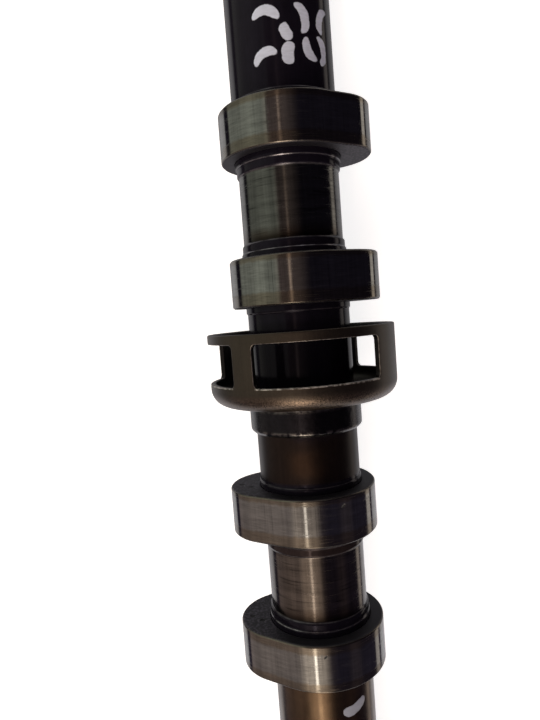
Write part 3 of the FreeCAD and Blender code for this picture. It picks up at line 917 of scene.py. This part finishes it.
def make_dowel(sizes, finish):
    """Dowel turned about its own axis, with the proud half's end rounded."""
    tip, root = -sizes.dowel_proud, 1.0 * MM
    radius, chamfer = sizes.dowel_r, 0.4 * MM
    profile = rounded(
        [(tip, 0), (tip, radius - chamfer), (tip + chamfer, radius), (root, radius), (root, 0)],
        [0, 0.25 * MM, 0.25 * MM, 0.2 * MM, 0], closed=False)
    points, facing = swept(*profile, every(96))
    skin = Skin()
    skin.add(points + np.array([0, 0, sizes.dowel_offset]), facing, wrap_columns=True)
    skin.build("dowel", dowel_steel(finish), ["drive_dowel"])


def make_plug(sizes, material):
    """Rear plug turned from one open profile, with a centre hole in its face."""
    head = TUBE_REAR + sizes.plug_head
    tip = TUBE_REAR - sizes.plug_spigot
    chamfer = 0.8 * MM
    profile = rounded(
        [(tip, 0), (tip, sizes.bore_r - chamfer), (tip + chamfer, sizes.bore_r), (TUBE_REAR, sizes.bore_r),
         (TUBE_REAR, sizes.tube_r), (head - chamfer, sizes.tube_r), (head, sizes.tube_r - chamfer),
         (head, sizes.centre_r), (head - sizes.centre_r / math.tan(math.radians(30)), 0)],
        [0, 0.2 * MM, 0.2 * MM, 0.1 * MM, sizes.edge, 0.3 * MM, 0.3 * MM, 0.2 * MM, 0], closed=False)
    skin = Skin()
    skin.add(*swept(*profile, every(192)), wrap_columns=True)
    skin.build("rear_plug", material, ["end_plug"])


def make_floor(studio):
    """Plain pale floor at the part's lowest level, which the camera sees as white with a soft shadow."""
    low = CAD_BOX[0][2]
    side = 3.0
    middle = (CAD_BOX[0][0] + CAD_BOX[1][0]) / 2
    corners = [(middle + x * side, y * side, low) for x, y in ((-1, -1), (1, -1), (1, 1), (-1, 1))]
    mesh = bpy.data.meshes.new("studio_floor")
    mesh.from_pydata(corners, [], [(0, 1, 2, 3)])
    material = bpy.data.materials.new("studio_floor")
    material.use_nodes = True
    material.node_tree.nodes.clear()
    wire = Wire(material.node_tree)
    camera_ray = wire.node("ShaderNodeLightPath", output="Is Camera Ray")
    plain = wire.node("ShaderNodeBsdfDiffuse", None, {"Color": (*studio.floor, 1.0)})
    glow = wire.node("ShaderNodeEmission", None, {"Color": (1, 1, 1, 1), "Strength": camera_ray * 0.80})
    both = wire.node("ShaderNodeAddShader", None, {0: plain, 1: glow})
    wire.node("ShaderNodeOutputMaterial", None, {"Surface": both})
    mesh.materials.append(material)
    floor = bpy.data.objects.new("studio_floor", mesh)
    bpy.context.scene.collection.objects.link(floor)
    # Reflections show the room light's own floor, so they keep its plain level
    floor.visible_glossy = False


def make_room(studio):
    """Room light by direction round the shaft (turn) and along it (tilt), in degrees.

    A panel on the left turns from cool to warm towards the rear end. Over the shaft a lamp's line and
    glow grow that way, the right side is dim, and pale ground lies below a dark line on each side.
    """
    world = bpy.data.worlds.new("room")
    bpy.context.scene.world = world
    world.use_nodes = True
    world.node_tree.nodes.clear()
    wire = Wire(world.node_tree)
    x, y, z = wire.node("ShaderNodeTexCoord", output="Generated").axes()
    turn = wire.maths("ARCTAN2", y, z) * (180 / math.pi)
    tilt = wire.maths("ARCSINE", x) * (180 / math.pi)
    warm_end = tilt.step(-2.0, 22.0)
    lamp_end = tilt.step(18.0, 36.0)
    far_end = tilt.step(33.0, 38.0)
    fade = tilt.step(60.0, 46.0)
    right = turn - warm_end * 5.0
    panel = turn.within(-112.0, -31.0, 2.5) * (0.74 + abs(turn + 64.0).step(22.0, 4.0) * 0.26)
    panel = panel * (1.0 - warm_end * 0.22) * (1.0 - far_end * 0.75)
    haze = turn.step(26.0, -6.0) * turn.step(-40.0, -30.0) * 0.27
    glow = turn.within(-38.0, 6.0, 8.0) * warm_end * 0.8 + abs(turn + 20.0).step(34.0, 4.0) * lamp_end * 1.5
    line = abs(turn + 10.5 + warm_end * 4.6).step(3.2, 1.2)
    line = line * (0.8 + tilt.step(-12.0, -3.0) * 0.6 + warm_end * 3.2 + lamp_end * 3.4)
    stripe = right.within(104.0, 116.5, 1.5) * (1.6 - warm_end * 0.2 - lamp_end * 0.4)
    lamp = abs(tilt - 62.0).step(16.0, 6.0) * abs(turn + 10.0).step(34.0, 6.0) * 9.0
    blush = abs(turn - 58.0).step(18.0, 4.0) * warm_end * 0.07
    left_ground = turn.step(-123.0, -129.0) * (0.9 - turn.step(-130.0, -168.0) * (0.65 - warm_end * 0.2))
    right_ground = right.step(122.5, 126.0) * (0.58 + warm_end * 0.22 - turn.step(130.0, 165.0) * 0.3)
    ends = abs(tilt).step(58.0, 72.0) * 0.9
    layers = (
        (wire.tone((1.0, 1.04, 0.86)).tint(wire.tone((1.05, 0.86, 0.74)), warm_end), panel),
        (wire.tone((1.0, 0.74, 0.62)), haze + blush),
        (wire.tone((1.0, 0.84, 0.68)), glow * fade + lamp),
        (wire.tone((1.0, 0.74, 0.56)).tint(wire.tone((1.0, 0.90, 0.78)), warm_end), line * fade),
        (wire.tone((1.0, 0.90, 0.78)), stripe * fade),
        (wire.tone((1.0, 0.98, 0.96)), left_ground + right_ground + ends),
        (wire.tone((1.0, 0.82, 1.3)), warm_end * 0.04 + 0.035),
    )
    total = wire.tone((0, 0, 0))
    for tint, level in layers:
        total = total.plus(tint.shade(level))
    camera_ray = wire.node("ShaderNodeLightPath", output="Is Camera Ray")
    seen = total.tint(wire.tone((1.0, 1.0, 1.0)), camera_ray)
    strength = camera_ray + (1.0 - camera_ray) * studio.level
    background = wire.node("ShaderNodeBackground", None, {"Color": seen, "Strength": strength})
    wire.node("ShaderNodeOutputWorld", None, {"Surface": background})


def make_camera(studio):
    """Camera at the photograph's place, looking down on the middle of the shaft."""
    camera = bpy.data.cameras.new("camera")
    camera.lens = studio.lens
    camera.sensor_width = 36.0
    camera.clip_start = 0.01
    camera.clip_end = 20.0
    holder = bpy.data.objects.new("camera", camera)
    # A camera looks along its own -Z with +Y up
    up, back = -np.array(CAMERA_DOWN), -np.array(CAMERA_FORWARD)
    rows = np.stack([CAMERA_RIGHT, up, back, CAMERA_PLACE], axis=1).tolist()
    holder.matrix_world = Matrix(rows + [[0, 0, 0, 1]])
    bpy.context.scene.collection.objects.link(holder)
    bpy.context.scene.camera = holder


class CAMSHAFT_OT_tube(bpy.types.Operator):
    """Finish the tube with its seats and journals"""

    bl_idname = "camshaft.tube"
    bl_label = "Tube"

    def execute(self, context):
        make_tube(context.scene.camshaft_sizes, context.scene.camshaft_finish)
        return {"FINISHED"}


class CAMSHAFT_OT_cams(bpy.types.Operator):
    """Finish the eight pressed-on cams"""

    bl_idname = "camshaft.cams"
    bl_label = "Cams"

    def execute(self, context):
        make_cams(context.scene.camshaft_sizes, context.scene.camshaft_finish)
        return {"FINISHED"}


class CAMSHAFT_OT_wheel(bpy.types.Operator):
    """Finish the drawn trigger wheel with its windows"""

    bl_idname = "camshaft.wheel"
    bl_label = "Trigger wheel"

    def execute(self, context):
        make_wheel(context.scene.camshaft_sizes, context.scene.camshaft_finish)
        return {"FINISHED"}


class CAMSHAFT_OT_ends(bpy.types.Operator):
    """Finish the drive end, its dowel and the rear plug"""

    bl_idname = "camshaft.ends"
    bl_label = "Ends"

    def execute(self, context):
        sizes = context.scene.camshaft_sizes
        finish = context.scene.camshaft_finish
        material = turned_steel(sizes, finish)
        make_drive_end(sizes, material)
        make_dowel(sizes, finish)
        make_plug(sizes, material)
        return {"FINISHED"}


class CAMSHAFT_OT_studio(bpy.types.Operator):
    """Set up the floor, the room light and the camera"""

    bl_idname = "camshaft.studio"
    bl_label = "Studio"

    def execute(self, context):
        studio = context.scene.camshaft_studio
        make_floor(studio)
        make_room(studio)
        make_camera(studio)
        context.scene.view_settings.view_transform = "Standard"
        return {"FINISHED"}


STEPS = (CAMSHAFT_OT_tube, CAMSHAFT_OT_cams, CAMSHAFT_OT_wheel, CAMSHAFT_OT_ends, CAMSHAFT_OT_studio)
GROUPS = (
    ("camshaft_sizes", CamshaftSizes),
    ("camshaft_finish", CamshaftFinish),
    ("camshaft_studio", CamshaftStudio),
)


class CAMSHAFT_PT_sidebar(bpy.types.Panel):
    """Steps and settings of the camshaft"""

    bl_label = "Camshaft"
    bl_space_type = "VIEW_3D"
    bl_region_type = "UI"
    bl_category = "Camshaft"

    def draw(self, context):
        for step in STEPS:
            self.layout.operator(step.bl_idname)
        for name, group in GROUPS:
            box = self.layout.box()
            for key in group.__annotations__:
                box.prop(getattr(context.scene, name), key)


def register():
    for _, group in GROUPS:
        bpy.utils.register_class(group)
    for step in STEPS:
        bpy.utils.register_class(step)
    bpy.utils.register_class(CAMSHAFT_PT_sidebar)
    for name, group in GROUPS:
        setattr(bpy.types.Scene, name, bpy.props.PointerProperty(type=group))


def unregister():
    for name, _ in GROUPS:
        delattr(bpy.types.Scene, name)
    bpy.utils.unregister_class(CAMSHAFT_PT_sidebar)
    for step in reversed(STEPS):
        bpy.utils.unregister_class(step)
    for _, group in reversed(GROUPS):
        bpy.utils.unregister_class(group)


def main():
    register()
    bpy.ops.camshaft.tube()
    bpy.ops.camshaft.cams()
    bpy.ops.camshaft.wheel()
    bpy.ops.camshaft.ends()
    bpy.ops.camshaft.studio()


if __name__ == "__main__":
    main()
